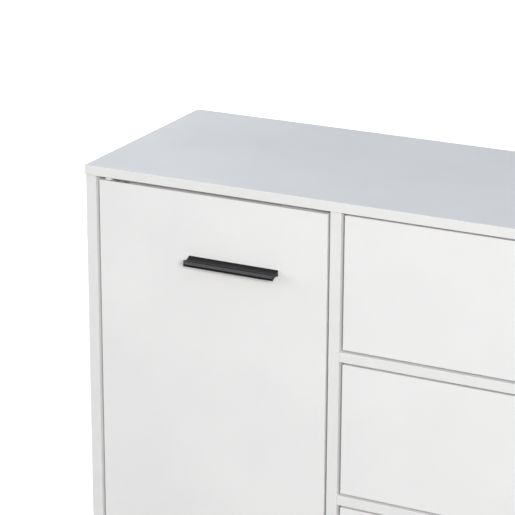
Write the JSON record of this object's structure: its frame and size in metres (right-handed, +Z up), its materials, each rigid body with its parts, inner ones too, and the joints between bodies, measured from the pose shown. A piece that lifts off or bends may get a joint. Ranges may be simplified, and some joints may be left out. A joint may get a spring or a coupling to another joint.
{
  "type": "sideboard",
  "caption": "White sideboard with a hinged door beside a bank of wide drawers, black bar handles, an adjustable shelf and a recessed plinth.",
  "frame": {"origin": "middle of the footprint, on the floor", "axes": "+X to the right as seen from the front, +Y to the back, +Z up; the door and the drawers face -Y"},
  "size_m": [1.252, 0.4012, 0.8],
  "materials": {
    "white_board": "white melamine-faced particle board, satin",
    "hardboard": "brown hardboard, smooth face in, matt",
    "black_aluminium": "black anodised, satin",
    "zinc_steel": "bright zinc plated",
    "white_nylon": "moulded white nylon",
    "grey_plastic": "moulded grey plastic"
  },
  "bodies": {
    "cabinet": {"top_panel": "white_board", "left_side": "white_board", "right_side": "white_board", "divider": "white_board", "bottom_panel": "white_board", "plinth": "white_board", "drawer_rail_upper": "white_board", "drawer_rail_lower": "white_board", "shelf": "white_board", "back_panel_left": "hardboard", "back_panel_right": "hardboard", "shelf_pin_front_left": "zinc_steel", "shelf_pin_front_right": "zinc_steel", "shelf_pin_back_left": "zinc_steel", "shelf_pin_back_right": "zinc_steel", "glide_front_left": "grey_plastic", "glide_front_right": "grey_plastic", "glide_back_left": "grey_plastic", "glide_back_right": "grey_plastic", "pivot_bush_upper": "white_nylon", "pivot_bush_lower": "white_nylon", "magnetic_catch": "white_nylon", "cabinet_runner_upper_left": "zinc_steel", "cabinet_runner_upper_right": "zinc_steel", "cabinet_runner_middle_left": "zinc_steel", "cabinet_runner_middle_right": "zinc_steel", "cabinet_runner_lower_left": "zinc_steel", "cabinet_runner_lower_right": "zinc_steel"},
    "door": {"door_panel": "white_board", "door_handle": "black_aluminium", "door_pivot_upper": "zinc_steel", "door_pivot_lower": "zinc_steel", "catch_strike": "zinc_steel"},
    "drawer_upper": {"drawer_front_upper": "white_board", "drawer_side_upper_left": "white_board", "drawer_side_upper_right": "white_board", "drawer_back_upper": "white_board", "drawer_bottom_upper": "hardboard", "drawer_handle_upper": "black_aluminium", "drawer_runner_upper_left": "zinc_steel", "drawer_runner_upper_right": "zinc_steel"},
    "drawer_middle": {"drawer_front_middle": "white_board", "drawer_side_middle_left": "white_board", "drawer_side_middle_right": "white_board", "drawer_back_middle": "white_board", "drawer_bottom_middle": "hardboard", "drawer_handle_middle": "black_aluminium", "drawer_runner_middle_left": "zinc_steel", "drawer_runner_middle_right": "zinc_steel"},
    "drawer_lower": {"drawer_front_lower": "white_board", "drawer_side_lower_left": "white_board", "drawer_side_lower_right": "white_board", "drawer_back_lower": "white_board", "drawer_bottom_lower": "hardboard", "drawer_handle_lower": "black_aluminium", "drawer_runner_lower_left": "zinc_steel", "drawer_runner_lower_right": "zinc_steel"}
  },
  "joints": [
    {"name": "door_hinge", "type": "hinge", "parent": "cabinet", "child": "door", "pos_m": [-0.587, -0.1714, 0.43], "axis": [0, 0, -1], "range_deg": [0, 120]},
    {"name": "drawer_slide_upper", "type": "slide", "parent": "cabinet", "child": "drawer_upper", "axis": [0, -1, 0], "range_m": [0, 0.25]},
    {"name": "drawer_slide_middle", "type": "slide", "parent": "cabinet", "child": "drawer_middle", "axis": [0, -1, 0], "range_m": [0, 0.25]},
    {"name": "drawer_slide_lower", "type": "slide", "parent": "cabinet", "child": "drawer_lower", "axis": [0, -1, 0], "range_m": [0, 0.25]}
  ]
}
